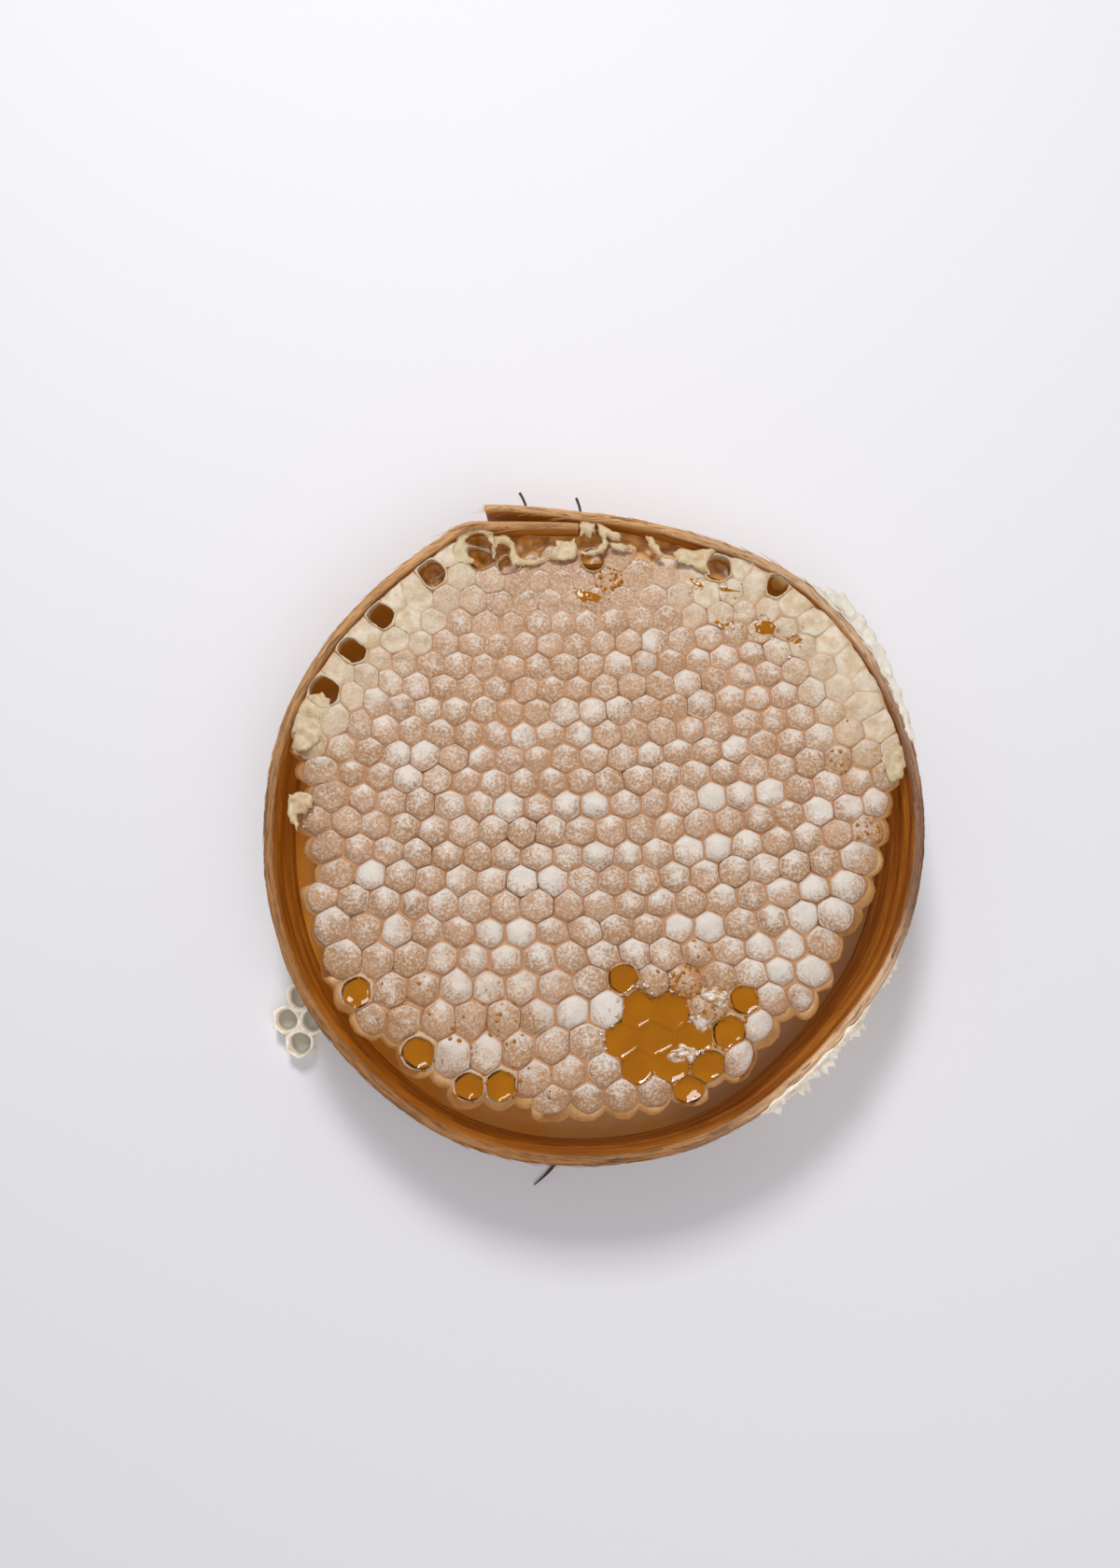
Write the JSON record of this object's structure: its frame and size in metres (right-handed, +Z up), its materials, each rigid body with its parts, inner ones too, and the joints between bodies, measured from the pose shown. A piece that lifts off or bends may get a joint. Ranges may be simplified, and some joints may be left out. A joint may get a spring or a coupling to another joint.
{
  "type": "comb honey in a bent-wood hoop",
  "caption": "Slab of capped honeycomb built by bees inside a round hoop of bent wood, with torn cells, wet honey and ragged wax on the rim.",
  "frame": {"origin": "on the ground under the middle of the part's footprint", "axes": "+Z up from the hoop's lower edge to the capped face; the hoop's lapped ends are at the back, +Y; +X to the right seen from the front"},
  "size_m": [0.1526, 0.1636, 0.0288],
  "materials": {
    "bent_wood": "Bare thin-cut wood bent to a hoop: fibrous, stained warm brown by honey and wax, almost no sheen",
    "comb_wax": "Beeswax cappings: tan to cream with chalky white patches, soft satin, a little translucent",
    "burr_wax": "Pale ragged burr wax, dull, a little translucent at its thin edges",
    "honey": "Deep amber honey with a wet, mirror-smooth surface",
    "nail_steel": "Dull dark iron wire",
    "dark_splinter": "Nearly black weathered wood fibre, dull"
  },
  "bodies": {
    "root": {"hoop": "bent_wood", "comb": "comb_wax", "honey_pool": "honey", "honey_cell_1": "honey", "honey_cell_2": "honey", "honey_cell_3": "honey", "honey_cell_4": "honey", "honey_cell_5": "honey", "honey_cell_6": "honey", "honey_cell_7": "honey", "honey_cell_8": "honey", "honey_cell_9": "honey", "burr_wax_upper": "burr_wax", "burr_wax_lower": "burr_wax", "burr_flap": "burr_wax", "burr_comb": "burr_wax", "nail_1": "nail_steel", "nail_2": "nail_steel", "splinter": "dark_splinter"}
  },
  "joints": []
}
